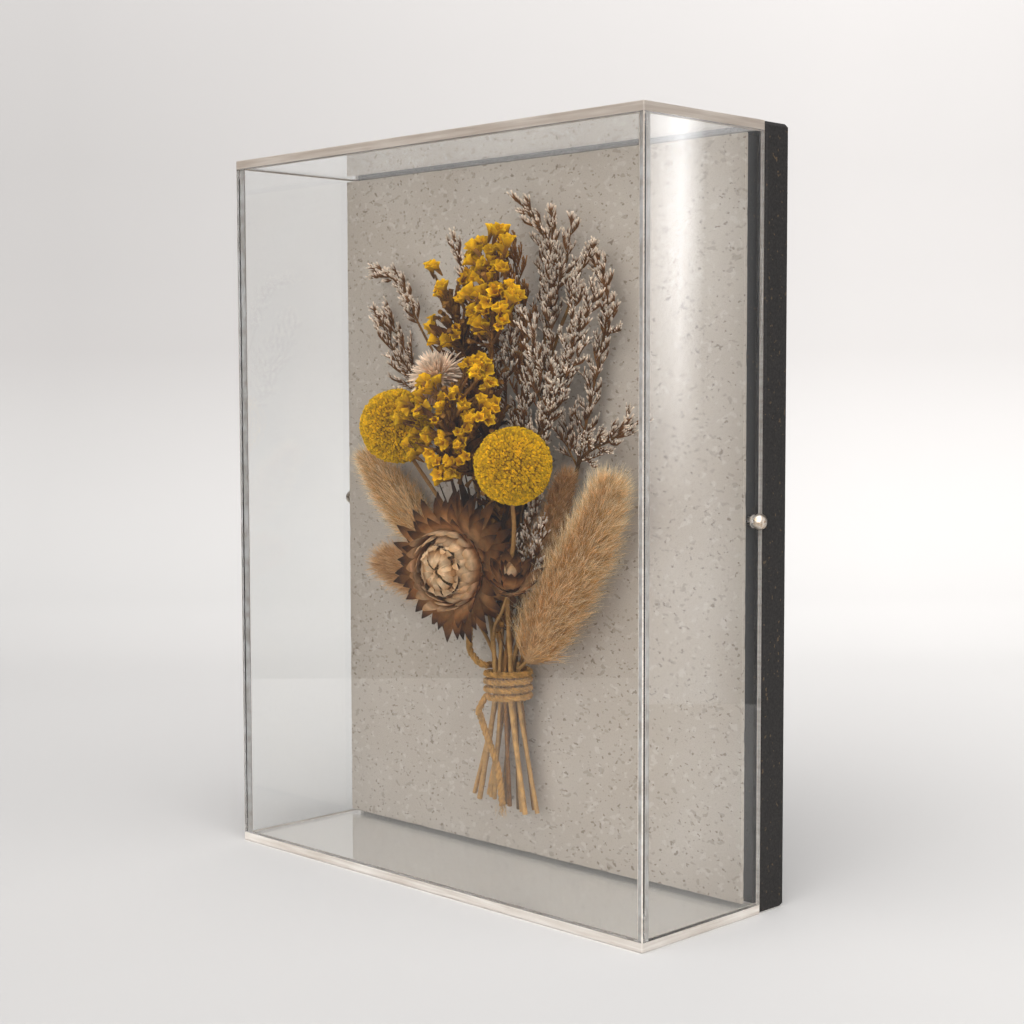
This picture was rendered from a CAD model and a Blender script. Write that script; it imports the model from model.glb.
import math

import bmesh
import bpy
import numpy as np
from mathutils import Matrix


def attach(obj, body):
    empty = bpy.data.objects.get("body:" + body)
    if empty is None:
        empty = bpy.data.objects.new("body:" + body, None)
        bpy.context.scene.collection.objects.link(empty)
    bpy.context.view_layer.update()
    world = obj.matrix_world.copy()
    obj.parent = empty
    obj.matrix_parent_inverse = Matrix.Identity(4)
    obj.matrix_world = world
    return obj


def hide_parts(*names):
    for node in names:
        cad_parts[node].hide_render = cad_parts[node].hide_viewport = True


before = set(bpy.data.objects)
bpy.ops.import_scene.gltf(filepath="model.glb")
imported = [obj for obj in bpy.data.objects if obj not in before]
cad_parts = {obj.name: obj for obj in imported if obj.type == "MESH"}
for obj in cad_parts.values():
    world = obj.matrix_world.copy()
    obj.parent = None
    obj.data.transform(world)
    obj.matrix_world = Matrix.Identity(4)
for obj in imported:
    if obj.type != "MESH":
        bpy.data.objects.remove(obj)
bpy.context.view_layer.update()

# The plaque is a thin slab of warm grey limestone, honed on its face and sawn on
# all four edges, where small chips have broken away.
MM = 0.001
HEIGHT = 0.250  # of the whole frame
FACE_Y = 0.0153  # the plaque's front face, behind the frame's middle
PLAQUE_WIDTH, PLAQUE_THICKNESS, PLAQUE_HEIGHT = 0.1875, 0.0015, 0.2418


def rgb(red, green, blue):
    """A display colour (0 to 255) as the linear colour that shader sockets take."""
    level = np.array([red, green, blue]) / 255
    linear = np.where(level <= 0.04045, level / 12.92, ((level + 0.055) / 1.055) ** 2.4)
    return (*linear.tolist(), 1.0)


def add(tree, kind, wires=None, **values):
    """A new shader node, its settings or input values set and its inputs wired."""
    made = tree.nodes.new("ShaderNode" + kind)
    for name, value in values.items():
        if hasattr(made, name):
            setattr(made, name, value)
        else:
            made.inputs[name.replace("_", " ")].default_value = value
    for name, source in (wires or {}).items():
        tree.links.new(source, made.inputs[name])
    return made


def mix(tree, share, low, high, blend_type="MIX"):
    """The colour low, turned into the colour high by a share."""
    made = add(tree, "Mix", data_type="RGBA", blend_type=blend_type)
    for index, value in ((0, share), (6, low), (7, high)):
        if isinstance(value, bpy.types.NodeSocket):
            tree.links.new(value, made.inputs[index])
        else:
            made.inputs[index].default_value = value
    return made.outputs[2]


def ramp(tree, source, *stops):
    """The colour that a row of (value, colour) stops gives for a value."""
    made = add(tree, "ValToRGB", {0: source})
    elements = made.color_ramp.elements
    for place, _ in stops[2:]:
        elements.new(place)
    for element, (place, colour) in zip(elements, stops):
        element.position = place
        element.color = colour
    return made.outputs[0]


def span(tree, source, low, high, to_low=0.0, to_high=1.0):
    """A value between low and high as one between to_low and to_high."""
    made = add(tree, "MapRange", {0: source})
    for index, value in enumerate((low, high, to_low, to_high), 1):
        made.inputs[index].default_value = value
    return made.outputs[0]


def noise(tree, scale, detail=2.0, stretch=(1, 1, 1), turn=(0, 0, 0)):
    """Noise over the piece's own coordinates, with scale lumps to a metre."""
    place = add(tree, "TexCoord").outputs["Object"]
    place = add(tree, "Mapping", {0: place}, Rotation=turn, Scale=stretch).outputs[0]
    return add(tree, "TexNoise", {0: place}, Scale=scale, Detail=detail).outputs[0]


def surface(name, **values):
    """A new material: its shader tree and its Principled shader."""
    made = bpy.data.materials.new(name)
    made.use_nodes = True
    shader = made.node_tree.nodes["Principled BSDF"]
    for key, value in values.items():
        shader.inputs[key.replace("_", " ")].default_value = value
    return made, made.node_tree, shader


def paint(tree, shader, colour):
    """Wires a worked-out colour to the shader."""
    tree.links.new(colour, shader.inputs["Base Color"])


def bump(tree, shader, height, depth):
    """Raises and lowers the shaded surface by a height map, depth in metres."""
    made = add(tree, "Bump", {"Height": height}, Distance=depth, Strength=1.0)
    tree.links.new(made.outputs[0], shader.inputs["Normal"])


def piece(name, parts, material, slot, *nodes):
    """One object from closed bodies.

    Each part is (places, where): places[body, row, side] are the points of its rows,
    which are joined by quads, closed round the sides and capped at both ends; where is
    the vector that the material reads at each point.
    """
    corners, sizes, base = [], [], 0
    for places, where in parts:
        count, rows, sides = places.shape[:3]
        index = base + np.arange(count * rows * sides).reshape(count, rows, sides)
        ahead = np.roll(index, -1, axis=2)
        quads = np.stack([index[:, :-1], ahead[:, :-1], ahead[:, 1:], index[:, 1:]], -1)
        corners += [quads.ravel(), index[:, 0, ::-1].ravel(), index[:, -1].ravel()]
        sizes += [np.full(quads.size // 4, 4), np.full(2 * count, sides)]
        base += index.size
    corners, sizes = np.concatenate(corners), np.concatenate(sizes)
    mesh = bpy.data.meshes.new(name)
    mesh.vertices.add(base)
    mesh.loops.add(len(corners))
    mesh.polygons.add(len(sizes))
    points = np.concatenate([places.reshape(-1, 3) for places, _ in parts])
    mesh.vertices.foreach_set("co", points.astype(np.float32).ravel())
    mesh.loops.foreach_set("vertex_index", corners.astype(np.int32))
    mesh.polygons.foreach_set("loop_start", (np.cumsum(sizes) - sizes).astype(np.int32))
    read = [np.broadcast_to(where, places.shape).reshape(-1, 3) for places, where in parts]
    attribute = mesh.attributes.new("where", "FLOAT_VECTOR", "POINT")
    attribute.data.foreach_set("vector", np.concatenate(read).astype(np.float32).ravel())
    mesh.update(calc_edges=True)
    mesh.validate()
    mesh.shade_smooth()
    mesh.set_sharp_from_angle(angle=math.radians(55))
    made = bpy.data.objects.new(name, mesh)
    bpy.context.scene.collection.objects.link(made)
    mesh.materials.append(material)
    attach(made, "root")
    if nodes:
        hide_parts(*nodes)
    return made


def chipped_slab(along, thick, high, chip):
    """A slab's rows: outlines front to back, the outline worn in by chips.

    The outline runs round the slab in short steps; its distance in from the edge is
    the positive part of a sum of sines, deepest on the front and back arrises.
    """
    steps = np.linspace(0, 1, 121)[:-1]
    low, top = -high / 2, high / 2
    corner = [(-along / 2, low), (along / 2, low), (along / 2, top), (-along / 2, top)]
    ring = [np.outer(1 - steps, a) + np.outer(steps, b)
            for a, b in zip(corner, corner[1:] + corner[:1])]
    ring = np.concatenate(ring)
    turn = np.arange(len(ring))
    worn = np.sin(turn * 0.83) + np.sin(turn * 0.31 + 1) + np.sin(turn * 1.71 + 2)
    worn = np.maximum(worn - 0.9, 0) * chip
    inward = -np.sign(ring) * (np.abs(ring) > np.array([along, high]) * 0.4999)
    rows = []
    for y, share in ((0, 1.0), (0, 0.9), (0.14, 0.25), (0.86, 0.2), (1, 0.8)):
        place = ring + inward * (worn[:, None] * share + 0.06 * MM * (y in (0, 1)))
        rows.append(np.column_stack([place[:, 0], np.full(len(ring), y * thick), place[:, 1]]))
    rows[0][:, [0, 2]] *= 0.995
    return np.array(rows)[None, :, ::-1]


slab = chipped_slab(PLAQUE_WIDTH, PLAQUE_THICKNESS, PLAQUE_HEIGHT, 0.18 * MM)
slab = slab + np.array([0, FACE_Y, HEIGHT / 2])
stone, tree, shader = surface("limestone", Roughness=0.75, Specular_IOR_Level=0.3)
cloud = noise(tree, 24, 6.0)
colour = ramp(tree, cloud, (0.3, rgb(188, 176, 161)), (0.7, rgb(200, 190, 177)))
chips = noise(tree, 400, 1.0, (0.8, 1, 1), (0.9, 0.2, 0.6))
colour = mix(tree, span(tree, chips, 0.62, 0.67, 0, 0.4), colour, rgb(216, 209, 199))
shards = noise(tree, 480, 1.0, (0.7, 1, 1.1), (0.3, 0.7, 0.2))
colour = mix(tree, span(tree, shards, 0.64, 0.69, 0, 0.6), colour, rgb(162, 148, 133))
flecks = noise(tree, 800, 1.0, (0.7, 1, 0.9), (0.2, 0.5, 0.1))
colour = mix(tree, span(tree, flecks, 0.66, 0.72, 0, 0.8), colour, rgb(134, 118, 102))
grit = noise(tree, 2600, 2.0)
colour = mix(tree, span(tree, grit, 0.5, 0.75, 0, 0.3), colour, rgb(150, 134, 118))
paint(tree, shader, colour)
bump(tree, shader, grit, 0.05 * MM)
piece("plaque", [(slab, (0, 0, 0))], stone, "stone", "stone_plaque")

# The board at the back is black chipboard foil, fine grained and matt, with bevelled
# edges. The block between it and the plaque is the same stock, and takes the screws.
for node, tone in (("back_board", rgb(18, 16, 14)), ("mounting_block", rgb(34, 31, 28))):
    black, tree, shader = surface(node + " black", Roughness=0.72, Specular_IOR_Level=0.35)
    speckle = noise(tree, 1500, 3.0)
    colour = mix(tree, span(tree, speckle, 0.35, 0.7), tone, rgb(38, 35, 33))
    colour = mix(tree, span(tree, noise(tree, 700, 1.0), 0.68, 0.74), colour, rgb(74, 60, 44))
    paint(tree, shader, colour)
    bump(tree, shader, speckle, 0.06 * MM)
    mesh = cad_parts[node].data
    mesh.materials.clear()
    mesh.materials.append(black)

# Two pan-head screws of turned, nickel-plated steel go through the side sheets into
# the block, one a side.
TAU = 2 * math.pi
WIDTH = 0.1955  # of the whole frame
SCREW_Y, SCREW_Z = 0.0196, 0.1255


def unit(vectors):
    """The vectors, each one unit long."""
    return vectors / np.maximum(np.linalg.norm(vectors, axis=-1, keepdims=True), 1e-12)


def turned(centres, axes, radii, heights, sides=6, ruffle=0.0, waves=5, size=1.0):
    """Bodies of revolution: a (radius, height) profile turned about each axis.

    The radius may swell and shrink round the axis by a sine, more towards the rim, and
    each body may have its own size.
    """
    up = unit(np.asarray(axes, float))
    side = unit(np.cross(up, (0.31, 0.2, 0.93)))
    other = np.cross(up, side)
    angle = TAU * np.arange(sides) / sides
    radii = np.asarray(radii, float)[:, None]
    wave = 1 + ruffle * np.sin(waves * angle) * radii / radii.max()
    size = np.reshape(size, (-1, 1, 1, 1))
    reach = (radii * wave * np.cos(angle))[..., None] * side[:, None, None]
    reach = reach + (radii * wave * np.sin(angle))[..., None] * other[:, None, None]
    lift = np.asarray(heights, float)[:, None, None] * up[:, None, None]
    return np.asarray(centres)[:, None, None] + size * (reach + lift)


screw_profile = [
    (0.3, 2.1), (0.34, 2.4), (1.0, 2.38), (1.7, 2.15), (2.25, 1.65), (2.52, 1.0), (2.6, 0.35),
    (2.55, 0.0), (1.45, 0.0), (1.45, -9.0), (0.1, -10.0),
]
radii, heights = np.array(screw_profile[::-1]).T * MM
nickel, tree, shader = surface("nickel", Metallic=1.0, Roughness=0.3)
brushed = noise(tree, 900, 3.0, (0.2, 1, 1))
colour = mix(tree, span(tree, brushed, 0.3, 0.7), rgb(190, 168, 142), rgb(222, 214, 204))
paint(tree, shader, colour)
tree.links.new(span(tree, brushed, 0.3, 0.8, 0.22, 0.5), shader.inputs["Roughness"])
for name, hand in (("screw_left", -1), ("screw_right", 1)):
    head = np.array([[hand * (WIDTH / 2 + 0.3 * MM), SCREW_Y, SCREW_Z]])
    body = turned(head, [[hand, 0, 0]], radii, heights, 28)
    piece(name + "_turned", [(body, (0, 0, 0))], nickel, "screw_metal", name)

# Two billy buttons: balls of small yellow florets packed round a core, each on one
# long bare stalk that runs down through the tie to its cut end.
TIE = np.array([1.5, 15.3 - 9, 65.7]) * MM
CUT_END = np.array([-3, 15.3 - 5.4, 21.5]) * MM
STALK_PITCH = 2.6 * MM
ROWS = {"back": STALK_PITCH, "middle": 0.0, "front": -STALK_PITCH}
FACING = (0.3, 1, 0.1)  # where the first side of a round stem, twig or hair faces
FLORETS = 2600  # on each ball
chance = np.random.default_rng(11)


def spots(*places):
    """Points from (x, distance off the plaque's face, z), in millimetres."""
    places = np.array(places, float)
    return np.column_stack([places[:, 0], FACE_Y / MM - places[:, 1], places[:, 2]]) * MM


def smooth(points, count):
    """Evenly numbered places on the smooth (Catmull-Rom) curve through the points."""
    points = np.asarray(points, float)
    points = np.vstack([2 * points[0] - points[1], points, 2 * points[-1] - points[-2]])
    step = np.linspace(0, len(points) - 3, count + 1)
    index = np.minimum(step.astype(int), len(points) - 4)
    a, b, c, d = (points[index + i] for i in range(4))
    t = (step - index)[:, None]
    return 0.5 * (2 * b + (c - a) * t + (2 * a - 5 * b + 4 * c - d) * t ** 2
                  + (3 * b - 3 * c + d - a) * t ** 3)


def stalk(row, slot, *above):
    """A plant's way up: from its cut end through its place in the tie to what is above."""
    across, behind = slot * STALK_PITCH, ROWS[row]
    low = CUT_END + (across * 2.9, behind * 0.85, 1.6 * MM * math.sin(5 * slot + 900 * behind))
    at_tie = TIE + (across, behind, 0)
    return np.vstack([low, at_tie - (0, 0, 6.5 * MM), at_tie + (0, 0, 6.5 * MM), spots(*above)])


def carried(paths, width, thick, facing, sides=6, cup=0.0):
    """Closed bodies carried along paths (body, row, 3).

    Each cross-section is an ellipse, width by thick, its flat side towards facing;
    cup lifts its edges by that share of the width, which curls it across. A path
    that would enter the plaque lies against its face instead.
    """
    paths = np.minimum(paths, (np.inf, FACE_Y - 0.1 * MM, np.inf))
    ahead = unit(np.gradient(paths, axis=1))
    facing = np.broadcast_to(facing, paths.shape)
    up = unit(facing - ahead * np.sum(facing * ahead, -1, keepdims=True))
    side = np.cross(up, ahead)
    angle = TAU * np.arange(sides) / sides
    wide = np.asarray(width)[..., None] * np.cos(angle)
    lift = np.asarray(thick)[..., None] * np.sin(angle) + cup * np.abs(wide)
    return (paths[..., None, :] + wide[..., None] * side[..., None, :]
            + lift[..., None] * up[..., None, :])


def marks(count, rows, kind):
    """What the material reads: the share along the body, its own chance, its kind."""
    own = np.broadcast_to(chance.random((count, 1)), (count, rows))
    share = np.broadcast_to(np.linspace(0, 1, rows), (count, rows))
    return np.stack([share, own, np.full((count, rows), kind)], -1)[:, :, None]


def stem(route, radius, kind, sides=7, tip=0.7):
    """One stalk along a route, thinner towards its tip, faintly ribbed and knotted."""
    rows = len(route)
    radii = radius * np.linspace(1, tip, rows) * (1 + 0.05 * np.sin(np.arange(rows) * 2.1))
    return carried(route[None], radii, radii, FACING, sides), marks(1, rows, kind)


def ball_directions(count):
    """Directions spread evenly over a ball: golden-angle turns at even heights."""
    height = 1 - (2 * np.arange(count) + 1) / count
    angle = np.arange(count) * TAU * 0.381966
    flat = np.sqrt(1 - height ** 2)
    return np.column_stack([flat * np.cos(angle), flat * np.sin(angle), height])


def plant(name, *kinds, speckle=0.25, roughness=0.8):
    """A dry plant's material: each kind of part has its colours from base to tip, as
    (share of the way, red, green, blue)."""
    kinds = [[(share, rgb(*colour)) for share, *colour in stops] for stops in kinds]
    made, tree, shader = surface(name, Roughness=roughness, Specular_IOR_Level=0.25)
    where = add(tree, "Attribute", attribute_name="where").outputs["Vector"]
    share, own, kind = add(tree, "SeparateXYZ", {0: where}).outputs
    colour = ramp(tree, share, *kinds[0])
    for number, stops in enumerate(kinds[1:], 1):
        is_kind = span(tree, kind, number - 0.6, number - 0.4)
        colour = mix(tree, is_kind, colour, ramp(tree, share, *stops))
    patches = span(tree, noise(tree, 420, 3.0), 0.3, 0.7, 1 - speckle, 1 + speckle)
    light = add(tree, "Math", {0: patches, 1: span(tree, own, 0, 1, 0.76, 1.34)},
                operation="MULTIPLY").outputs[0]
    colour = add(tree, "HueSaturation", {"Color": colour, "Value": light},
                 Saturation=1.15).outputs[0]
    paint(tree, shader, colour)
    return made


STRAW = ((0, 194, 156, 110), (1, 172, 136, 94))
yellow = plant(
    "billy button yellow",
    ((0, 138, 98, 8), (1, 170, 126, 14)),  # core
    ((0, 194, 156, 110), (1, 140, 104, 70)),  # stalk
    ((0, 150, 104, 4), (0.45, 206, 156, 10), (0.75, 238, 194, 34), (1, 176, 124, 6)))


def billy_button(name, centre, radius, route):
    """A core, the tiny tubular florets standing on it, and the stalk.

    The florets' roots lie in golden-angle turns on a ball whose radius varies by a low
    sine wave and by chance; each floret is a small turned cup along its own radius.
    """
    out = unit(ball_directions(FLORETS) + chance.normal(0, 0.012, (FLORETS, 3)))
    lumps = 1 + 0.012 * np.sin(9 * out[:, 0] + 7 * out[:, 2]) + chance.normal(0, 0.012, FLORETS)
    roots = centre + out * (radius - 1.0 * MM) * lumps[:, None]
    florets = turned(roots, unit(out + chance.normal(0, 0.15, out.shape)),
                     np.array([0.34, 0.44, 0.46, 0.30, 0.08]) * MM,
                     np.array([-0.4, 0.15, 0.6, 0.95, 0.72]) * MM, 5,
                     size=chance.uniform(0.85, 1.2, FLORETS) * radius / (12.9 * MM))
    turn = np.linspace(0.02, math.pi - 0.02, 16)
    core = turned([centre], [[0, 0, 1]], 0.93 * radius * np.sin(turn),
                  -0.93 * radius * np.cos(turn), 24)
    piece(name + "_flower", [(core, (0, 0.5, 0)), stem(smooth(route, 40), 0.95 * MM, 1),
                             (florets, marks(FLORETS, 5, 2))],
          yellow, "billy_button_yellow", name)


centre = spots((21.2, 26, 141.8))[0]
billy_button("billy_button_front", centre, 12.9 * MM, np.vstack([
    stalk("front", 1.5, (11, 18.5, 97), (19.5, 24, 118), (21, 26, 129.5)), centre]))
centre = spots((-45.5, 18, 154))[0]
billy_button("billy_button_left", centre, 13.2 * MM, np.vstack([
    stalk("middle", -1, (-11, 6, 98), (-29, 8.5, 123), (-42.5, 13.5, 142.5)), centre]))

# The strawflower: rings of stiff papery bracts on one head, the outer ones brown,
# dark at the tip and spread wide, the inner ones cream and curled over the disc.
DRY_LEAVES = 24  # in a fan below the head
BRISTLES = 7  # on the disc, for its radius in millimetres squared
brown = plant(
    "strawflower bracts", ((0, 74, 50, 32), (1, 54, 35, 22)), STRAW,
    ((0, 220, 190, 154), (0.42, 190, 148, 110), (0.64, 136, 96, 66), (0.86, 72, 46, 30),
     (1, 38, 23, 15)),
    ((0, 100, 66, 42), (0.4, 176, 134, 98), (0.72, 226, 196, 162), (1, 196, 156, 118)),
    ((0, 104, 84, 44), (0.6, 160, 130, 82), (1, 206, 174, 132)))


def bract_ring(centre, front, count, radius, sink, length, width, start, end, kind, turn=0.0):
    """A ring of pointed bracts, its sizes in millimetres: each leaves the head at the
    angle start off the front and bends evenly to the angle end, wide in its middle and
    curled across."""
    radius, sink, length, width = np.array([radius, sink, length, width]) * MM
    side = unit(np.cross(front, (0.05, 0.1, 1.0)))
    other = np.cross(front, side)
    angle = TAU * (np.arange(count) + turn + chance.normal(0, 0.12, count)) / count
    out = np.cos(angle)[:, None] * side + np.sin(angle)[:, None] * other
    rows = 8
    lean = np.radians(np.linspace(start, end, rows)[None] + chance.normal(0, 6, (count, 1)))
    length = length * chance.uniform(0.85, 1.12, (count, 1)) / (rows - 1)
    steps = (np.sin(lean)[..., None] * out[:, None] + np.cos(lean)[..., None] * front)
    paths = np.cumsum(steps * length[..., None], axis=1)
    paths = paths - paths[:, :1] + (centre + out * radius - front * sink)[:, None]
    share = np.linspace(0, 1, rows)
    wide = width * np.array([[0.55, 0.8, 0.97, 1, 0.95, 0.8, 0.5, 0.06],
                             [0.55, 0.8, 0.97, 1, 0.98, 0.9, 0.7, 0.25]][kind == 3])
    thick = (0.3 - 0.18 * share) * MM
    body = carried(paths, wide[None], thick[None], front - 0.9 * out[:, None], 6, 0.42)
    return body, marks(count, rows, kind)


def everlasting_head(centre, front, rings, disc):
    """Rings of bracts and the bristly disc in the middle of them.

    The bristles stand out from half to all of the disc's radius, in golden-angle turns
    over the front half of a ball.
    """
    parts = [bract_ring(centre, front, *ring, turn=0.37 * i) for i, ring in enumerate(rings)]
    count = int(BRISTLES * (disc / MM) ** 2)
    points = -ball_directions(2 * count)[count:]
    side = unit(np.cross(front, (0.05, 0.1, 1.0)))
    out = points @ np.array([side, np.cross(front, side), front])
    paths = centre + out[:, None] * disc * np.linspace(0.5, 1.0, 4)[None, :, None]
    radii = np.array([[0.36, 0.4, 0.36, 0.08]]) * MM
    return parts + [(carried(paths, radii, radii, side, 4), marks(count, 4, 4))]


centre = spots((-9.8, 21, 106.5))[0]
front = unit(np.array([0.14, -0.98, -0.1]))
rings = [
    (18, 8.0, 3.5, 15.5, 2.2, 98, 134, 2),
    (20, 9.0, 2.5, 16.5, 2.4, 88, 112, 2),
    (22, 9.5, 1.5, 16.5, 2.5, 76, 96, 2),
    (22, 10.4, 0.5, 15.0, 2.5, 62, 78, 2),
    (22, 11.4, -0.5, 12.0, 2.5, 46, 36, 2),
    (20, 12.6, -1.0, 11.0, 2.4, 30, -16, 3),
    (20, 12.2, -1.8, 11.0, 2.3, 20, -40, 3),
    (18, 11.2, -2.6, 10.0, 2.2, 8, -58, 3),
    (18, 8.6, -8.0, 8.0, 1.25, -30, -84, 3),
]
strawflower_route = stalk("front", -1.5, (-6.5, 9.8, 88), (-10.2, 10.2, 100))
turn = np.linspace(0.02, math.pi - 0.02, 12)
body = turned([centre], [front], 11 * MM * np.sin(turn), (-5 * np.cos(turn) - 1.5) * MM, 20)
route = smooth(np.vstack([strawflower_route, centre - front * 2 * MM]), 32)
parts = everlasting_head(centre + front * 1.5 * MM, front, rings, 9.6 * MM)
foot = spots((-8, 10, 98)) + chance.normal(0, 0.8 * MM, (DRY_LEAVES, 3))
fan = np.column_stack([np.linspace(-0.45, 0.75, DRY_LEAVES), chance.normal(0, 0.12, DRY_LEAVES),
                       np.ones(DRY_LEAVES)])
head = foot + unit(fan) * chance.uniform(34, 44, (DRY_LEAVES, 1)) * MM
step = np.linspace(0, 1, 6)[None, :, None]
leaves = carried(foot[:, None] * (1 - step) + head[:, None] * step,
                 np.array([[0.5, 1.4, 1.9, 1.9, 1.3, 0.15]]) * MM, np.full((1, 6), 0.15 * MM),
                 chance.normal(0, 0.5, (DRY_LEAVES, 1, 3)) - (0, 1, 0), 6, 0.3)
piece("strawflower_head",
      [*parts, (body, (0, 0.5, 0)), stem(route, 1.0 * MM, 1), (leaves, marks(DRY_LEAVES, 6, 0))],
      brown, "brown_bract", "strawflower")

# The bud beside it has forked from the same plant, on a short side stalk: a brown
# cup of the same papery bracts, half open.


def fork(parent, height, *above):
    """A side route: it leaves the parent's route at a height, in millimetres, and
    starts just clear of it on the side of the next point."""
    above = spots(*above)
    at = np.array([np.interp(height * MM, parent[:, 2], parent[:, i]) for i in range(3)])
    index = np.searchsorted(parent[:, 2], height * MM)
    along = unit(parent[index] - parent[index - 1])
    aside = above[0] - at
    aside = unit(aside - along * (aside @ along))
    return np.vstack([at + aside * 0.9 * MM, above])


centre = spots((20, 26, 104))[0]
front = unit(np.array([0.45, -0.4, 0.8]))
rings = [
    (9, 2.4, 4, 11.5, 2.5, 74, 30, 2),
    (9, 2.2, 3, 11, 2.5, 56, 8, 2),
    (8, 1.9, 2, 9, 2.1, 36, 0, 2),
    (7, 1.4, 1.5, 8, 1.7, 20, -16, 3),
]
route = fork(smooth(strawflower_route, 24), 80, (4, 17.5, 87), (12, 22.5, 92))
route = smooth(np.vstack([route, centre - front * 2 * MM]), 14)
body = turned([centre - front * 2 * MM], [front], np.sin(turn) * 3.4 * MM,
              -np.cos(turn) * 3 * MM, 14)
parts = everlasting_head(centre, front, rings, 2.6 * MM)
piece("strawflower_bud_head", [*parts, (body, (0, 0.5, 0)), stem(route, 0.7 * MM, 1)],
      brown, "brown_bract", "strawflower_bud")

# The small pale everlasting near the top: many narrow spiky bracts round one head,
# white above and tan pink below.
pale = plant(
    "pale petals", ((0, 150, 124, 92), (1, 150, 124, 92)), STRAW,
    ((0, 180, 138, 104), (0.5, 222, 192, 164), (1, 246, 228, 208)),
    ((0, 160, 118, 88), (0.6, 206, 170, 140), (1, 190, 150, 122)),
    ((0, 150, 110, 60), (1, 196, 160, 96)))
centre = spots((-18, 23.4, 172))[0]
front = unit(np.array([0.2, -0.75, 0.62]))
rings = [
    (46, 1.8, 2.0, 8.6, 0.62, 105, 122, 3),
    (54, 1.8, 1.2, 9.2, 0.62, 90, 102, 3),
    (56, 1.7, 0.4, 9.0, 0.6, 74, 84, 2),
    (52, 1.5, 0, 8.6, 0.6, 58, 64, 2),
    (46, 1.3, 0, 8.0, 0.55, 42, 44, 2),
    (34, 1.0, 0, 7.4, 0.55, 24, 22, 2),
    (20, 0.5, 0, 7.0, 0.5, 8, 8, 2),
]
route = stalk("front", -0.5, (-3.4, 7, 97), (-9.5, 12.4, 130), (-15, 17.5, 157))
route = smooth(np.vstack([route, centre - front * MM]), 40)
body = turned([centre], [front], np.sin(turn) * 2.6 * MM, -np.cos(turn) * 2.4 * MM, 14)
parts = everlasting_head(centre, front, rings, 3.2 * MM)
piece("everlasting_head", [*parts, (body, (0, 0.5, 0)), stem(route, 0.75 * MM, 1)],
      pale, "pale_petal", "everlasting_pale")

# Four bunny tails: a grass's soft egg-shaped head, its scales hidden by thousands of
# long fine hairs that sweep towards the tip.
tan = plant(
    "bunny tail hair", ((0, 176, 144, 110), (1, 166, 134, 96)), STRAW,
    ((0, 150, 104, 68), (0.5, 220, 176, 124), (1, 255, 240, 206)),
    ((0, 150, 108, 74), (0.5, 190, 144, 104), (1, 232, 200, 160)), speckle=0.22)


def between(route, at):
    """Places on a route and its directions there, at numbers that count its points."""
    index = np.minimum(at.astype(int), len(route) - 2)
    blend = (at - index)[:, None]
    place = route[index] * (1 - blend) + route[index + 1] * blend
    return place, unit(route[index + 1] - route[index])


def bent(roots, first, last, length, share):
    """Paths that leave their roots along first and turn evenly to last: after a share s
    of the way, first counts s - s * s / 2 lengths and last s * s / 2."""
    share = share[None, :, None]
    return roots[:, None] + length[:, None] * (first[:, None] * (share - 0.5 * share ** 2)
                                               + last[:, None] * 0.5 * share ** 2)


def bunny_tail(name, axis, radius, row, slot, above, kind=2, hairs=4200, taper=0.3):
    """The soft core along the axis, the hairs rooted on it, and the stalk.

    The core's radius follows half an ellipse, fuller near its base. Each hair starts on
    the core, and its direction turns evenly from outwards to towards the tip; hairs
    whose roots are near each other share a lean, which makes the tufts.
    """
    middle = smooth(spots(*axis), 20)
    share = np.linspace(0, 1, 21)
    swell = np.sqrt(np.clip(1 - (2 * share ** 0.8 - 1) ** 2, 0, 1)) * (1.1 - taper * share)
    radii = radius * np.maximum(swell, 0.05)
    core = carried(middle[None], 0.7 * radii[None], 0.7 * radii[None], FACING, 16)
    at = chance.random(hairs) ** 0.9 * 20
    root, ahead = between(middle, at)
    loose = chance.normal(0, 1, (hairs, 3))
    out = unit(loose - ahead * np.sum(loose * ahead, 1, keepdims=True))
    near = np.interp(at, np.arange(21), radii)[:, None]
    root = root + out * near * 0.55
    length = radius * chance.uniform(0.6, 1.25, (hairs, 1)) * (1 - 0.2 * at[:, None] / 20)
    tufts = chance.normal(0, 0.17, (260, 3))
    sector = (np.arctan2(out[:, 2], out[:, 0]) * 1.59 + 5).astype(int)
    wild = tufts[(at * 13).astype(int) % 26 * 10 + sector] + chance.normal(0, 0.09, (hairs, 3))
    first = unit(0.7 * ahead + 0.7 * out + wild)
    last = unit(1.0 * ahead + 0.22 * out + 1.9 * wild)
    paths = bent(root, first, last, length, np.linspace(0, 1, 4))
    thin = np.array([[0.075, 0.07, 0.05, 0.012]]) * MM
    fur = carried(paths, thin, thin, out[:, None], 3)
    route = smooth(np.vstack([stalk(row, slot, *above), middle[1]]), 32)
    piece(name + "_fur", [(core, marks(1, 21, 0)), stem(route, 0.8 * MM, 1),
                          (fur, marks(hairs, 4, kind))], tan, "bunny_tail", name)


bunny_tail("bunny_tail_right", [(15.5, 13.3, 74), (31, 14, 97.5), (44.5, 14, 117), (52, 13, 135)],
           11.0 * MM, "middle", 2, [(9.8, 11.4, 71.8)], hairs=9000, taper=0.5)
bunny_tail("bunny_tail_shaded", [(11, 9.4, 93), (20, 9, 115), (30, 9.5, 138)], 6.2 * MM,
           "middle", 1, [(8, 9.2, 85)], 3)
bunny_tail("bunny_tail_left", [(-39, 8.5, 113), (-56, 8.5, 127), (-72, 9, 142)], 8.4 * MM,
           "back", -1.5, [(-17, 4.2, 93), (-30, 7.2, 105)])
bunny_tail("bunny_tail_low_left", [(-31, 8.6, 96), (-46, 9, 100.5), (-62, 10, 104)], 8.9 * MM,
           "middle", -2.15, [(-18, 6.5, 86.5)], 3)

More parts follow.
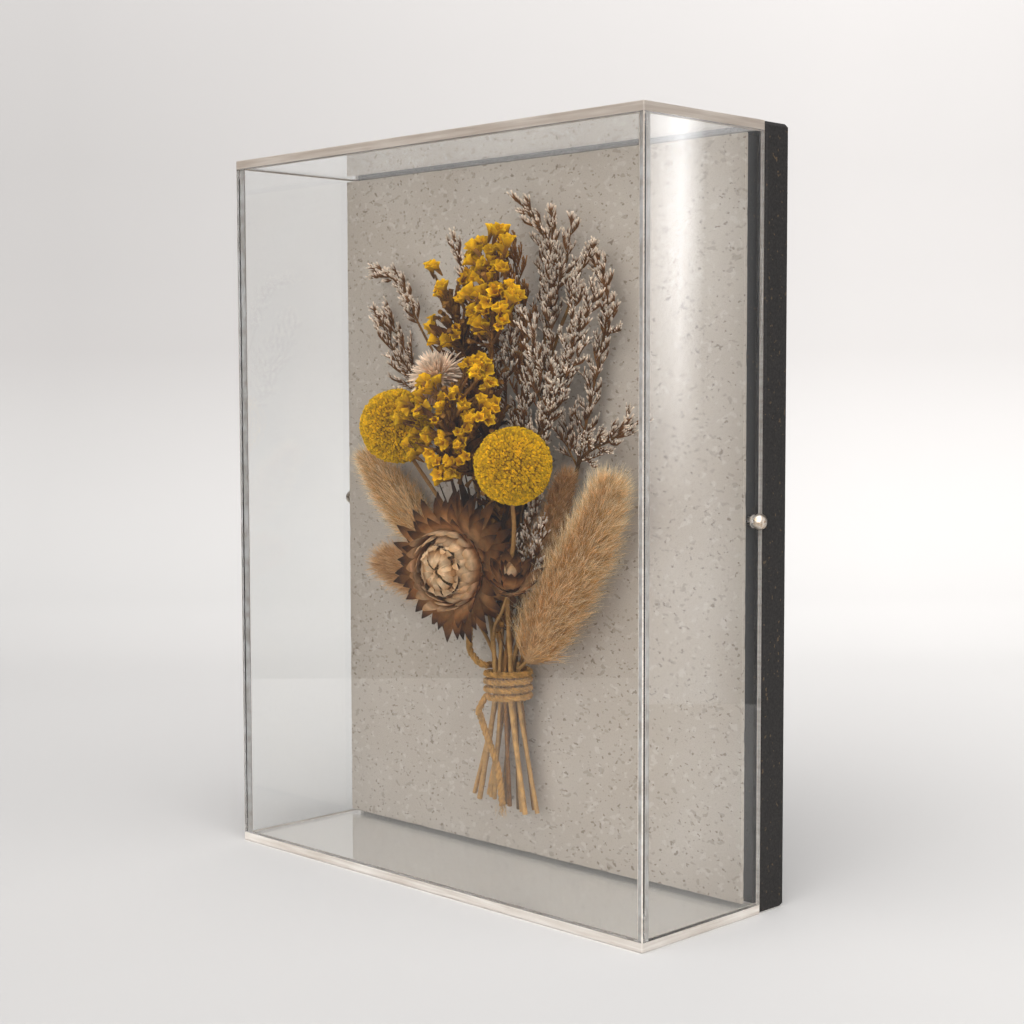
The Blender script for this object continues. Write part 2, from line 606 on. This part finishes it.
# The statice: one plant forked into three limbs, with clusters of papery ruffled
# yellow cups standing in brown calyces at the ends of short twigs.
golden = plant(
    "statice yellow", ((0, 126, 92, 60), (1, 108, 74, 44)),
    ((0, 104, 70, 42), (1, 140, 104, 64)),
    ((0, 120, 80, 16), (0.3, 208, 152, 8), (0.6, 246, 196, 30), (1, 160, 108, 4)),
    ((0, 62, 38, 22), (0.7, 96, 62, 36), (1, 60, 36, 20)))


def nearest_below(route, places, drop):
    """For each place the point of the route about drop lower than it."""
    gap = np.linalg.norm(route[None] - (places - (0, 0, drop))[:, None], axis=-1)
    return route[gap.argmin(1)]


def arched(starts, ends, lift, rows=5):
    """Paths from starts to ends, bowed aside by the vector lift in their middle."""
    step = np.linspace(0, 1, rows)[None, :, None]
    line = starts[:, None] * (1 - step) + ends[:, None] * step
    return line + 4 * step * (1 - step) * np.asarray(lift)


WITHERED, DRY = 150, 80  # withered cups and dry leaves on each limb


def statice(name, route, places, radius, cups=6):
    """A limb: its stem, a twig to each place, and the cups clustered there.

    A cup is a short flared profile turned about its lean, its rim ruffled by a sine
    and crumpled by chance, in a slim calyx. Withered cups and narrow dry leaves leave
    the stem at random heights, each on a path bowed by a parabola.
    """
    places = spots(*places)
    start = nearest_below(route, places, 9 * MM)
    twigs = arched(start, places, (0, 0, -0.6 * MM))
    thin = np.linspace(0.55, 0.4, 5)[None] * MM
    where = np.repeat(places, cups, axis=0)
    count = len(where)
    lean = unit(np.repeat(unit(places - start), cups, axis=0) + (0, -0.5, 0.25)
                + chance.normal(0, 0.55, (count, 3)))
    where = where + lean * 1.0 * MM + chance.normal(0, 1.25 * MM, (count, 3))
    size = chance.uniform(0.75, 1.2, count) * radius / MM
    calyx = turned(where, lean, np.array([0.12, 0.3, 0.42, 0.2]) * MM,
                   np.array([-2.2, -1.4, -0.3, 0.1]) * MM, 6, size=size)
    cup = turned(where, lean, np.array([0.22, 0.42, 0.78, 1.0, 0.92, 0.6, 0.12]) * MM,
                 np.array([-0.9, -0.2, 0.45, 1.0, 1.02, 0.5, -0.1]) * MM, 15, 0.28, 5, size)
    cup = cup + chance.normal(0, 0.13 * MM, cup.shape)
    share = chance.uniform(0.3, 1.0, WITHERED) * (len(route) - 1)
    foot = route[share.astype(int)] + chance.normal(0, 0.4 * MM, (WITHERED, 3))
    leaning = unit(chance.normal(0, 1, (WITHERED, 3)) + (0, -0.3, 1.6))
    head = foot + leaning * chance.uniform(3, 9, (WITHERED, 1)) * MM
    withered = turned(head, head - foot + chance.normal(0, MM, (WITHERED, 3)),
                      np.array([0.15, 0.55, 0.75, 0.95, 0.3]) * MM,
                      np.array([-1.6, -0.4, 0.8, 1.9, 1.3]) * MM, 6, 0.2, 3)
    parts = [(carried(arched(foot, head, (0, 0, -0.4 * MM)), 0.6 * thin, 0.6 * thin,
                      FACING, 4), marks(WITHERED, 5, 0)), (withered, marks(WITHERED, 5, 1))]
    foot = route[(chance.uniform(0.32, 0.78, DRY) * len(route)).astype(int)]
    leaning = unit(chance.normal(0, 1, (DRY, 3)) * (1.1, 0.5, 0.4) + (-0.25, -0.2, 1))
    head = foot + leaning * chance.uniform(7, 16, (DRY, 1)) * MM
    parts += [(carried(arched(foot, head, (0, -MM, 0), 6),
                       np.array([[0.3, 1, 1.3, 1.1, 0.7, 0.1]]) * MM, np.full((1, 6), 0.12 * MM),
                       chance.normal(0, 1, (DRY, 1, 3)) - (0, 1, 0), 6, 0.3), marks(DRY, 6, 3))]
    piece(name + "_limb", [*parts, stem(route, 0.8 * MM, 0, tip=0.6),
                           (carried(twigs, thin, thin, FACING, 5), marks(len(places), 5, 0)),
                           (calyx, marks(count, 4, 1)), (cup, marks(count, 7, 2))],
          golden, "statice_yellow", name)


main = smooth(stalk("front", 0.5, (3, 7.8, 100), (2.6, 8.8, 115), (2.6, 14.5, 132),
                    (5, 19.5, 155), (7, 21.5, 185), (9, 22, 204)), 36)
statice("statice_top", main, [
    (11, 22, 218), (12, 22, 214), (10, 23, 212), (1, 23, 214), (3, 23, 210), (8, 24, 208),
    (12, 24, 207), (2, 23, 205), (5, 23, 202), (17, 24, 199), (21, 24, 198), (13, 24, 199),
    (0, 23, 198), (6, 24, 196), (10, 25, 194), (17, 24, 192), (15, 24, 190), (4, 23, 188),
    (2, 23, 191)], 2.1 * MM, 4)
route = fork(main, 139, (-3.5, 14.5, 150), (-8, 13, 163), (-13, 15.5, 182), (-19, 17.5, 197))
statice("statice_left", smooth(route, 20), [
    (-25, 18, 207), (-12, 18, 205), (-17, 20, 201), (-9, 19, 196), (-25, 19, 188), (-21, 20, 184),
    (-13, 20, 187), (-14, 21, 183)], 1.8 * MM, 3)
route = fork(main, 126, (0, 21, 136), (-1.5, 26, 143), (-2.5, 29.5, 152), (-2, 31, 162))
statice("statice_front", smooth(route, 20), [
    (4, 31, 174), (8, 31, 176), (13, 31, 173), (15, 31, 168), (11, 32, 170), (-16, 31, 169),
    (-12, 31, 168), (-23, 31, 162), (-17, 32, 161), (-4, 33, 164), (1, 33, 165), (-5, 34, 160),
    (8, 34, 158), (15, 32, 163), (15, 33, 158), (11, 34, 157), (-30, 30, 156), (-5, 36, 153),
    (-19, 33, 149), (-17, 32, 146), (0, 36, 150), (6, 36, 147), (8, 36, 150), (-6, 36, 144),
    (-2, 36, 142), (-6, 35, 140), (3, 35, 140), (3, 36, 143)], 1.8 * MM, 4)

# The sea lavender: four plants, forked into sprays. Each spray bears side combs, thin
# curved twigs whose upper side is set with rows of narrow, white-tipped calyces.
lavender = plant(
    "sea lavender", ((0, 120, 92, 60), (1, 98, 68, 44)),
    ((0, 104, 72, 46), (1, 132, 96, 64)),
    ((0, 76, 46, 28), (0.47, 118, 82, 54), (0.62, 218, 200, 180), (1, 255, 250, 242)),
    ((0, 84, 52, 28), (0.5, 126, 84, 50), (1, 176, 140, 104)))


SEATS = 16  # calyces along each comb


def combs(route, bare, reach, spacing, kind, lean):
    """Side combs of a route: their twigs, and the calyces along them.

    The combs leave the route in golden-angle turns, shorter towards its tip, and each
    bends evenly towards the route's own direction. Its calyces sit in two rows on the
    upper side, slim turned spindles with a flared mouth.
    """
    count = int(np.linalg.norm(np.diff(route, axis=0), axis=1).sum() * (1 - bare) / spacing)
    share = bare + (1 - bare) * (np.arange(count) + 0.5) / count
    root, ahead = between(route, share * (len(route) - 1))
    angle = np.arange(count) * 2.4 + chance.normal(0, 0.3, count)
    flat = unit(np.cross(ahead, (0, 1, 0)))
    deep = np.cross(flat, ahead)
    aside = np.cos(angle)[:, None] * flat + 0.55 * np.sin(angle)[:, None] * deep + lean
    length = 1.2 * reach * (1.15 - 0.75 * share[:, None]) * chance.uniform(0.65, 1.2, (count, 1))
    start = unit(0.6 * ahead + 0.85 * aside)
    end = unit(0.8 * ahead + 0.7 * aside + (0, 0, 0.2) + chance.normal(0, 0.15, (count, 3)))
    paths = bent(root, start, end, length, np.linspace(0, 1, 6))
    thin = np.linspace(0.28, 0.16, 6)[None] * MM
    twigs = carried(paths, thin, thin, FACING, 4), marks(count, 6, 1)
    step = 0.22 + 0.78 * np.arange(SEATS) / (SEATS - 1)
    seat = bent(root, start, end, length, step)
    step = step[None, :, None]
    along = unit(start[:, None] * (1 - step) + end[:, None] * step)
    upper = unit(np.cross(np.cross(along, ahead[:, None] + (0, -0.3, 0.2)), along))
    hand = np.where(np.arange(SEATS) % 2, 0.45, -0.45)[None, :, None]
    point = unit(0.95 * along + 0.6 * upper + 0.8 * hand * np.cross(along, upper)
                 + chance.normal(0, 0.16, (count, SEATS, 3)))
    seat, point = seat.reshape(-1, 3), point.reshape(-1, 3)
    calyces = turned(seat, point, np.array([0.1, 0.2, 0.18, 0.24, 0.05]) * MM,
                     np.array([-0.2, 0.7, 1.9, 3.4, 3.0]) * MM, 5,
                     size=chance.uniform(0.75, 1.15, len(seat)))
    return [twigs, (calyces, marks(len(seat), 5, kind))]


def spray(name, route, bare, reach, *branches, kind=2, lean=(0, -0.15, 0.1), spacing=1.8 * MM):
    """A spray and its small branches, each with its combs: every branch is a smooth
    curve that starts on the route, a little below its own first place."""
    parts = [stem(route, 0.75 * MM, 0, 6, 0.4), *combs(route, bare, reach, spacing, kind, lean)]
    for branch in branches:
        places = spots(*branch)
        foot = nearest_below(route, places[:1], 5 * MM)
        path = smooth(np.vstack([foot, places]), 12)
        parts += [stem(path, 0.4 * MM, 0, 5, 0.5)]
        parts += combs(path, 0.15, 0.75 * reach, spacing, kind, lean)
    piece(name + "_spray", parts, lavender, "sea_lavender", name)


left = smooth(stalk("back", -0.5, (-3.5, 3.6, 100), (-12, 3.6, 130), (-25, 4, 160), (-41, 6, 183),
                    (-48, 7, 194), (-56, 6.5, 206), (-69, 6, 210)), 36)
back = smooth(stalk("back", 0.5, (4.5, 3.4, 100), (9, 3.4, 140), (17, 4.8, 180), (22, 8.5, 200),
                    (23, 9, 224)), 36)
right = smooth(stalk("back", 1.5, (9.5, 1.8, 95), (22, 1.8, 122), (32, 4, 150), (40, 6, 172),
                     (46, 7, 196), (41, 7, 209)), 36)
middle = smooth(stalk("middle", 0, (5.8, 6.4, 100), (9.8, 10.4, 125), (20, 11.4, 148),
                      (28, 12.5, 165), (37, 13.5, 182), (47, 14, 197)), 36)
spray("sea_lavender_left", left, 0.74, 7 * MM)
spray("sea_lavender_back", back, 0.74, 9 * MM, [(28, 9, 205), (32, 9, 222)],
      [(24, 9, 202), (26, 9, 213)])
spray("sea_lavender_right", right, 0.62, 8 * MM, [(25, 4, 149), (28, 5, 158)],
      [(47, 8, 186), (49, 8, 192)])
spray("sea_lavender_middle", middle, 0.66, 9 * MM, [(24, 13, 165), (26, 13, 176), (25, 13, 197)],
      [(30, 14, 165), (42, 14, 181)], [(31, 13, 172), (36, 13, 192), (39, 13, 199)],
      [(22, 15, 150), (28, 16, 158), (34, 17, 166)], [(13, 12, 106), (17, 14, 119), (22, 15, 132)],
      [(14, 12, 98), (20, 15, 108), (26, 17, 121)])
spray("sea_lavender_left_low", smooth(fork(left, 155, (-35, 2.8, 160), (-46, 2.6, 164),
      (-56, 4.2, 172), (-64, 4.5, 184), (-70, 4.5, 194)), 16), 0.3, 10 * MM,
      [(-51, 4, 172), (-58, 5, 185), (-66, 5, 196)])
spray("sea_lavender_inner", smooth(fork(left, 128, (-9.5, 7, 142), (-9.5, 8.5, 160),
      (-10, 9, 178), (-14, 11.5, 198), (-20, 13, 218)), 20), 0.6, 8 * MM)
spray("sea_lavender_back_left", smooth(fork(back, 170, (14, 3.4, 184), (16.5, 3.6, 200),
      (15, 4.4, 217), (5, 5, 230)), 14), 0.3, 8 * MM)
spray("sea_lavender_brown", smooth(fork(back, 142, (9.5, 8, 152), (12, 12, 166), (14, 13, 185),
      (12, 13.5, 202), (6, 12.5, 217)), 18), 0.4, 9 * MM,
      [(-1, 10, 139), (1, 13, 163), (2, 15, 184)],
      [(6, 10, 143), (11, 12, 163), (15, 14, 182)],
      [(-8, 9, 150), (-8, 12, 170), (-8, 14, 191)], kind=3)
spray("sea_lavender_right_low", smooth(fork(right, 136, (33.5, 7, 143), (43, 12, 147),
      (54, 13.5, 151), (62, 13, 156)), 14), 0.2, 9 * MM, [(40, 9, 147), (50, 10, 150)],
      spacing=1.7 * MM)
spray("sea_lavender_twig", smooth(fork(back, 174, (25, 8, 186), (32, 9.5, 196), (37, 10, 206),
      (42, 10, 213)), 12), 0.5, 6 * MM)
spray("sea_lavender_front", smooth(fork(middle, 146, (23, 15, 157), (25.5, 18, 168),
      (26, 20.5, 178), (24, 20.5, 190)), 12), 0.3, 9 * MM,
      [(6, 14, 162), (10, 16, 177), (13, 17, 188)],
      [(13, 14, 148), (19, 17, 164), (22, 18, 178)], [(20, 14, 145), (28, 17, 159), (32, 18, 173)],
      [(2, 14, 182), (7, 15, 190), (10, 15, 202)])

# The jute twine: three twisted plies, turned four times round the stalks, with one
# end hanging down frayed and the other a small loose bight.
JUTE_PITCH, JUTE_TURNS, JUTE_ROWS = 2.7 * MM, 4, 621
FUZZ, FRAY = 900, 40  # fine fibres along the twine and at its frayed end
tail = smooth(spots((2, 12.4, 23), (0.2, 13, 36), (-3.5, 15.8, 50), (-5, 16.8, 56)), 8)
angle = TAU * (np.arange(10 * JUTE_TURNS + 1) / 10 + 0.6)
wraps = TIE + np.column_stack([
    8.8 * MM * np.cos(angle), 6.0 * MM * np.sin(angle),
    JUTE_PITCH * (np.arange(len(angle)) / 10 - JUTE_TURNS / 2)])
bight = spots((-12.8, 13.5, 76), (-14, 12.5, 83), (-11.8, 14.5, 88))
bight = np.vstack([wraps[-1] + np.array([-2, -1.5, 1]) * MM, bight])
route = smooth(np.vstack([tail, wraps, smooth(bight, 6)]), JUTE_ROWS - 1)
ahead = unit(np.gradient(route, axis=0))
side = unit(np.cross(ahead, (0.2, 0.1, 1.0)))
other = np.cross(ahead, side)
length = np.concatenate([[0], np.cumsum(np.linalg.norm(np.diff(route, axis=0), axis=1))])
lay = TAU * length / (6 * MM)
plies = np.array([route + 0.6 * MM * (np.cos(lay + start)[:, None] * side
                                      + np.sin(lay + start)[:, None] * other)
                  for start in (0, TAU / 3, 2 * TAU / 3)])
rough = 0.62 * MM * (1 + 0.06 * np.sin(np.arange(JUTE_ROWS) * 1.9))[None]
strand = carried(plies, rough, rough, FACING, 6)
pick = chance.integers(0, JUTE_ROWS, FUZZ)
out = unit(chance.normal(0, 1, (FUZZ, 3)))
ends = route[pick] + out * chance.uniform(1.2, 2.6, (FUZZ, 1)) * MM
fuzz = arched(route[pick] + out * 0.8 * MM, ends, chance.normal(0, 0.3 * MM, (FUZZ, 1, 3)))
fray = route[:1] + chance.normal(0, 0.7 * MM, (FRAY, 3)) * (1, 1, 0.2)
fray_ends = fray + chance.normal(0, 0.8 * MM, (FRAY, 3)) - (0, 0, 3.0 * MM)
fray = arched(fray, fray_ends, chance.normal(0, 0.2 * MM, (FRAY, 1, 3)))
hair = np.full((1, 5), 0.045 * MM)
jute = plant("jute", ((0, 176, 138, 92), (1, 176, 138, 92)),
             ((0, 190, 156, 112), (1, 204, 172, 130)), speckle=0.3)
piece("jute_tie", [(strand, marks(3, JUTE_ROWS, 0)),
                   (carried(fuzz, hair, hair, FACING, 3), marks(FUZZ, 5, 1)),
                   (carried(fray, hair, hair, FACING, 3), marks(FRAY, 5, 1))],
      jute, "jute", "jute_twine")

# The cover: five 3 mm sheets of clear acrylic, sawn to size, their arrises rubbed down,
# glued edge to edge with solvent and open at the back. It is one body here, since the
# joints are welded. The sawn edges and arrises stay frosted.
SHEET, COVER_DEPTH, HOLE_RADIUS = 3 * MM, 0.0572, 1.8 * MM
FRONT_Y = -0.0702 / 2  # half of the whole frame's depth in front of its middle
NEAR = 0.05 * MM  # a face as near as this to an outer face lies in it


def block(low, high):
    """A plain box between two corners."""
    bpy.ops.mesh.primitive_cube_add(size=1, location=(np.add(low, high) / 2).tolist(),
                                    scale=np.subtract(high, low).tolist())
    bpy.ops.object.transform_apply(location=True, scale=True)
    return bpy.context.object


cover = block((-WIDTH / 2, FRONT_Y, 0), (WIDTH / 2, FRONT_Y + COVER_DEPTH, HEIGHT))
hollow = block((SHEET - WIDTH / 2, FRONT_Y + SHEET, SHEET),
               (WIDTH / 2 - SHEET, FRONT_Y + 2 * COVER_DEPTH, HEIGHT - SHEET))
bpy.ops.mesh.primitive_cylinder_add(vertices=32, radius=HOLE_RADIUS, depth=2 * WIDTH,
                                    location=(0, SCREW_Y, SCREW_Z), rotation=(0, TAU / 4, 0))
bpy.ops.object.transform_apply(location=True, rotation=True)
for cutter in (bpy.context.object, hollow):
    step = cover.modifiers.new("cut", "BOOLEAN")
    step.operation = "DIFFERENCE"
    step.object = cutter
step = cover.modifiers.new("arris", "BEVEL")
step.width = 0.35 * MM
step.segments = 2
step.limit_method = "ANGLE"
bpy.context.view_layer.update()
mesh = bpy.data.meshes.new_from_object(cover.evaluated_get(bpy.context.evaluated_depsgraph_get()))
cover.modifiers.clear()
cover.data = mesh
for cutter in (bpy.context.object, hollow):
    bpy.data.objects.remove(cutter)
cover.name = "acrylic_cover"
shell = bmesh.new()
shell.from_mesh(mesh)
for height in (SHEET, HEIGHT - SHEET):  # the end sheets' edges get faces of their own
    everything = shell.verts[:] + shell.edges[:] + shell.faces[:]
    bmesh.ops.bisect_plane(shell, geom=everything, plane_co=(0, 0, height), plane_no=(0, 0, 1))
shell.normal_update()
for face in shell.faces:
    middle = face.calc_center_median()
    in_end_sheet = abs(middle.z - HEIGHT / 2) > HEIGHT / 2 - SHEET
    at_side = abs(middle.x) > WIDTH / 2 - NEAR or middle.y < FRONT_Y + NEAR
    at_back = middle.y > FRONT_Y + COVER_DEPTH - NEAR
    arris = max(abs(part) for part in face.normal) < 0.99
    face.material_index = int(in_end_sheet and at_side or at_back or arris)
clear, tree, shader = surface("clear acrylic", Transmission_Weight=1.0, IOR=1.49, Roughness=0.0)
haze = noise(tree, 60, 2.0)
colour = mix(tree, haze, rgb(254, 255, 255), rgb(255, 255, 254))
paint(tree, shader, colour)
sawn, tree, shader = surface("sawn acrylic edge", Transmission_Weight=0.45, IOR=1.49,
                             Roughness=0.4)
streaks = noise(tree, 1000, 4.0, (0.05, 0.05, 1), (0.08, 0.03, 0))
colour = mix(tree, span(tree, streaks, 0.32, 0.68), rgb(216, 206, 196), rgb(252, 248, 242))
up = add(tree, "SeparateXYZ", {0: add(tree, "TexCoord").outputs["Object"]}).outputs["Z"]
colour = mix(tree, 1.0, colour, mix(tree, span(tree, up, 0, HEIGHT), rgb(255, 252, 248),
                                    rgb(200, 192, 184)), "MULTIPLY")
paint(tree, shader, colour)
mesh.materials.clear()
for material in (clear, sawn):
    mesh.materials.append(material)
shell.to_mesh(mesh)
shell.free()
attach(cover, "root")
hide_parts("top_pane", "bottom_pane", "front_pane", "left_pane", "right_pane")

# The seams where the front sheet is welded to the four others show as thin pale lines
# in the clear body, since the solvent leaves them slightly cloudy.


def bar(low, high):
    """A thin straight bar between two corners, as one body of two rows."""
    (x0, y0, z0), (x1, y1, z1) = low, high
    ring = [(x0, y0), (x1, y0), (x1, y1), (x0, y1)]
    return np.array([[[(*place, z) for place in ring] for z in (z0, z1)]])


inner, outer, film = WIDTH / 2 - SHEET, WIDTH / 2 - 0.3 * MM, 0.04 * MM
seam_y = FRONT_Y + SHEET
seams = [bar((-outer, seam_y, SHEET), (-inner, seam_y + film, HEIGHT - SHEET)),
         bar((inner, seam_y, SHEET), (outer, seam_y + film, HEIGHT - SHEET))]
for height in (SHEET, HEIGHT - SHEET):
    seams.append(bar((-outer, FRONT_Y + 0.3 * MM, height), (outer, seam_y, height + film)))
cloudy, tree, shader = surface("cloudy seam", Transmission_Weight=0.55, IOR=1.49, Roughness=0.25)
clouds = span(tree, noise(tree, 260, 3.0), 0.35, 0.65)
colour = mix(tree, clouds, rgb(214, 208, 200), rgb(252, 251, 249))
paint(tree, shader, colour)
piece("cover_seams", [(places, (0, 0, 0)) for places in seams], cloudy, "clear_acrylic")

# The stage: a strip of pale paper that runs along the table and up the wall, in a
# dim room with a broad soft light in front and overhead and a tall one at the right.
# The paper is shaded as the real backdrop is, and glows faintly under the clear box.
scene = bpy.context.scene
STRIP_LENGTH, STRIP_FRONT, HALF_STRIP = 5.2, 1.3, 0.47
FLAT, SWEEP, SWEEP_RADIUS = 0.55, 0.5, 0.32  # the floor behind the frame, then the bend
across, along = np.meshgrid([-HALF_STRIP, HALF_STRIP], np.linspace(0, 1, 60), indexing="ij")
along = along * STRIP_LENGTH - STRIP_FRONT
bend = np.clip((along - FLAT) / SWEEP, 0, 1) * TAU / 4
run = np.minimum(along, FLAT) + SWEEP_RADIUS * np.sin(bend)
rise = SWEEP_RADIUS * (1 - np.cos(bend)) + np.maximum(along - FLAT - SWEEP, 0)
slant = math.radians(45)
strip = np.stack([across * math.cos(slant) - run * math.sin(slant),
                  across * math.sin(slant) + run * math.cos(slant), rise - 0.2 * MM], -1)
index = np.arange(across.size).reshape(across.shape)
faces = np.stack([index[0, :-1], index[1, :-1], index[1, 1:], index[0, 1:]], -1)
mesh = bpy.data.meshes.new("paper strip")
mesh.from_pydata(strip.reshape(-1, 3).tolist(), [], faces.tolist())
mesh.shade_smooth()
table = bpy.data.objects.new("paper strip", mesh)
scene.collection.objects.link(table)


def combined(how, first, second=0.0):
    """Values or numbers, put together by a Math node of the present tree."""
    made = add(tree, "Math", operation=how)
    for index, value in enumerate((first, second)):
        if isinstance(value, bpy.types.NodeSocket):
            tree.links.new(value, made.inputs[index])
        else:
            made.inputs[index].default_value = value
    return made.outputs[0]


paper, tree, shader = surface("paper", Roughness=0.9, Specular_IOR_Level=0.1)
x, y, z = add(tree, "SeparateXYZ", {0: add(tree, "TexCoord").outputs["Object"]}).outputs
colour = mix(tree, noise(tree, 3, 2.0), rgb(204, 202, 200), rgb(208, 206, 204))
side_shade = span(tree, combined("ADD", x, y), -0.5, 0.4, 0.78, 1.05)
colour = mix(tree, 1.0, colour, ramp(tree, span(tree, z, 0, 1), (0, (0.9, 0.9, 0.89, 1)),
             (0.02, (0.82, 0.82, 0.81, 1)), (0.2, (0.68, 0.67, 0.66, 1)),
             (0.6, (0.88, 0.87, 0.86, 1))), "MULTIPLY")
colour = add(tree, "HueSaturation", {"Color": colour, "Value": side_shade}).outputs[0]
wide = span(tree, combined("ABSOLUTE", x), 0.096, 0.098, 1, 0)
deep = span(tree, combined("ABSOLUTE", y), 0.033, 0.036, 1, 0)
under = combined("MULTIPLY", wide, deep)  # the frame's footprint
colour = mix(tree, under, colour, (0.96, 0.92, 0.87, 1))
shader.inputs["Emission Color"].default_value = (1.0, 0.93, 0.85, 1)
tree.links.new(span(tree, under, 0, 1, 0, 0.14), shader.inputs["Emission Strength"])
paint(tree, shader, colour)
mesh.materials.append(paper)
world = bpy.data.worlds.new("room")
world.use_nodes = True
scene.world = world
tree = world.node_tree
shade = tree.nodes["Background"]
toward = add(tree, "TexCoord").outputs["Generated"]


def facing_share(direction, low, high):
    """How far the view direction turns towards a direction, from 0 to 1."""
    made = add(tree, "VectorMath", {0: toward}, operation="DOT_PRODUCT")
    made.inputs[1].default_value = unit(np.array(direction, float)).tolist()
    return span(tree, made.outputs["Value"], low, high)


overhead = combined("MULTIPLY", facing_share((0.5, -0.72, 0.68), 0.3, 0.95), 3.4)
sideways, behind, upwards = (-0.7072, 0.7071, 0), (0.7071, 0.7072, 0), (0, 0, 1)
band = combined("MULTIPLY", facing_share(sideways, 0.068, 0.092),
                facing_share(sideways, 0.105, 0.092))
band = combined("MULTIPLY", band, facing_share(behind, 0.6, 0.7))
tall = combined("MULTIPLY", facing_share(upwards, -0.06, 0.09),
                facing_share(upwards, 0.19, 0.15))
window = combined("MULTIPLY", combined("MULTIPLY", band, tall), 5.0)
glow = combined("MULTIPLY", facing_share((0.7, 0.7, 0.05), 0.8, 1.0),
                facing_share(sideways, 0.135, 0.106))
glow = combined("MULTIPLY", glow, 1.2)
level = combined("ADD", combined("ADD", overhead, window), combined("ADD", glow, 0.2))
tree.links.new(level, shade.inputs["Strength"])
shade.inputs["Color"].default_value = rgb(252, 252, 254)
scene.cycles.max_bounces = 12
scene.cycles.glossy_bounces = 8
scene.cycles.transmission_bounces = 12

# The camera stands where the photograph was taken from: to the right of the frame,
# a little above its middle, looking slightly down.
view = bpy.data.cameras.new("camera")
view.lens = 63.57
view.sensor_width = 36
camera = bpy.data.objects.new("camera", view)
camera.location = (0.44269, -0.43402, 0.16697)
yaw, pitch, roll = (math.radians(angle) for angle in (-45.006, -3.874, -0.153))
forward = np.array([math.sin(yaw) * math.cos(pitch), math.cos(yaw) * math.cos(pitch),
                    math.sin(pitch)])
level_right = np.array([math.cos(yaw), -math.sin(yaw), 0])
level_up = np.cross(level_right, forward)
right_hand = math.cos(roll) * level_right + math.sin(roll) * level_up
head_up = np.cross(right_hand, forward)
place = np.eye(4)
place[:3, :3] = np.column_stack([right_hand, head_up, -forward])
place[:3, 3] = camera.location
camera.matrix_world = Matrix(place.tolist())
scene.collection.objects.link(camera)
scene.camera = camera
scene.view_settings.view_transform = "Standard"
